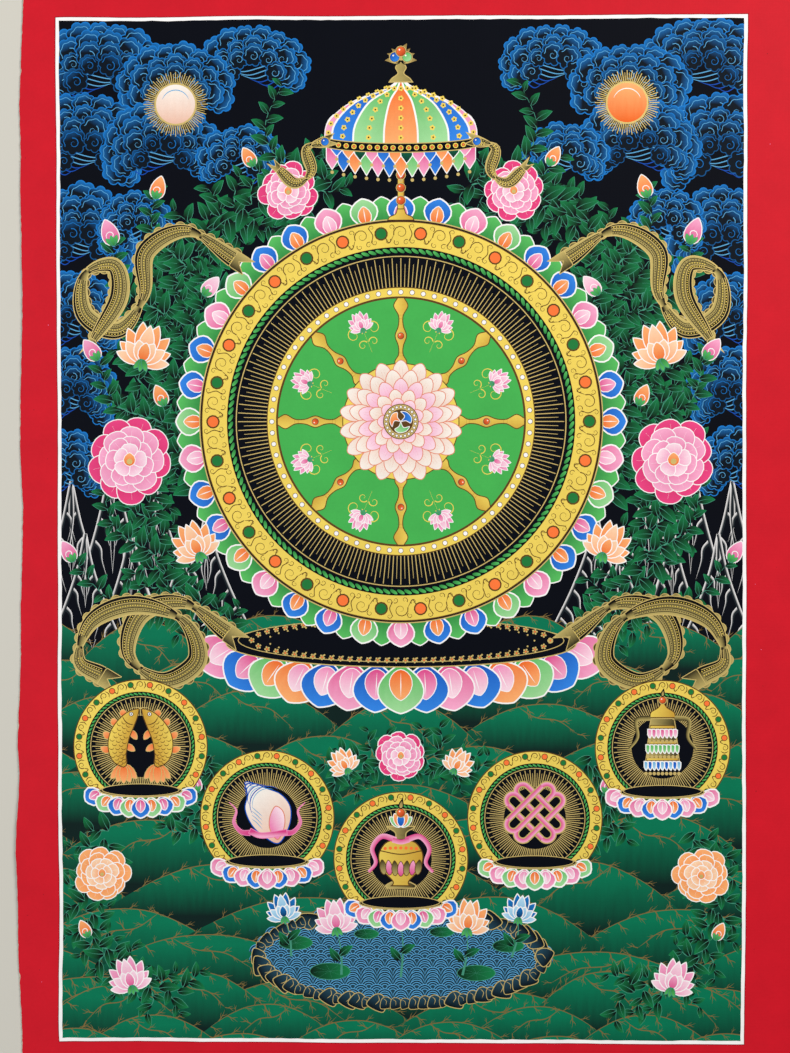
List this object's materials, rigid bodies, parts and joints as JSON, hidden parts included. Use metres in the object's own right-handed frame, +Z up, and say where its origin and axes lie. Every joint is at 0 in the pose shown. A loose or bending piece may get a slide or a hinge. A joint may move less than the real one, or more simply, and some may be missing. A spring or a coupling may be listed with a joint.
{
  "type": "unmounted thangka painting on cotton canvas",
  "caption": "Flat hand-painted cotton canvas with a ruled picture field and a plain painted margin, cut by hand, lying face up.",
  "frame": {"origin": "under the middle of the whole cloth, on the surface that it lies on", "axes": "+X across the picture to its right, +Y up the picture, +Z up out of the painted face"},
  "size_m": [0.6885, 0.98, 0.0036],
  "materials": {
    "painted_cotton": "matte mineral paint in glue on primed cotton"
  },
  "bodies": {
    "root": {"canvas": "painted_cotton"}
  },
  "joints": []
}
